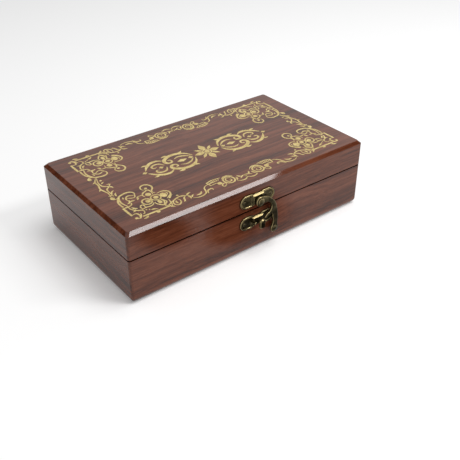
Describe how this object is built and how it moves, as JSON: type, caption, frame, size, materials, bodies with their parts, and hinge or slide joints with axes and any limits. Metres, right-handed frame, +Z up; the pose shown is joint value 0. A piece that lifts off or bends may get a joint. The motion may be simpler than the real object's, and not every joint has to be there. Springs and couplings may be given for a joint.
{
  "type": "game tile storage box",
  "caption": "Lacquered wooden game box with a chamfered hinged lid, a brass swing latch and felt-lined bays for tiles.",
  "frame": {"origin": "middle of the flat wooden underside of the base", "axes": "+X to the right along the front, +Y from the latch to the hinges, +Z up"},
  "size_m": [0.22, 0.1351, 0.0585],
  "materials": {
    "case_wood": "glossy lacquer over reddish brown wood, grain along X",
    "divider_wood": "satin",
    "felt": "short burgundy felt",
    "antique_brass": "antique, dark in the hollows and bright on the edges",
    "brass_fixings": "antique",
    "gold_print": "flat gold ink"
  },
  "bodies": {
    "base": {"bottom_board": "case_wood", "base_front_wall": "case_wood", "base_back_wall": "case_wood", "base_left_wall": "case_wood", "base_right_wall": "case_wood", "bay_divider": "divider_wood", "front_bay_floor_felt": "felt", "front_bay_wall_felt": "felt", "front_bay_left_felt": "felt", "front_bay_right_felt": "felt", "back_bay_floor_felt": "felt", "back_bay_wall_felt": "felt", "back_bay_left_felt": "felt", "back_bay_right_felt": "felt", "left_hinge_base_leaf": "antique_brass", "right_hinge_base_leaf": "antique_brass", "left_hinge_base_screws": "brass_fixings", "right_hinge_base_screws": "brass_fixings", "left_hinge_pin": "brass_fixings", "right_hinge_pin": "brass_fixings", "catch_plate": "antique_brass", "catch_stud": "antique_brass", "catch_stop_pin": "brass_fixings", "catch_plate_nails": "brass_fixings"},
    "lid": {"lid_top_panel": "case_wood", "lid_front_rail": "case_wood", "lid_back_rail": "case_wood", "lid_left_rail": "case_wood", "lid_right_rail": "case_wood", "lid_felt": "felt", "left_hinge_lid_leaf": "antique_brass", "right_hinge_lid_leaf": "antique_brass", "left_hinge_lid_screws": "brass_fixings", "right_hinge_lid_screws": "brass_fixings", "latch_plate": "antique_brass", "latch_rivet": "antique_brass", "latch_plate_nails": "brass_fixings"},
    "hook": {"latch_hook": "antique_brass"}
  },
  "joints": [
    {"name": "lid_hinge", "type": "hinge", "parent": "base", "child": "lid", "pos_m": [0, 0.0637, 0.0366], "axis": [-1, 0, 0], "range_deg": [0, 95]},
    {"name": "hook_swing", "type": "hinge", "parent": "lid", "child": "hook", "pos_m": [0, -0.0652, 0.0444], "axis": [0, -1, 0], "range_deg": [-33, 180]}
  ]
}
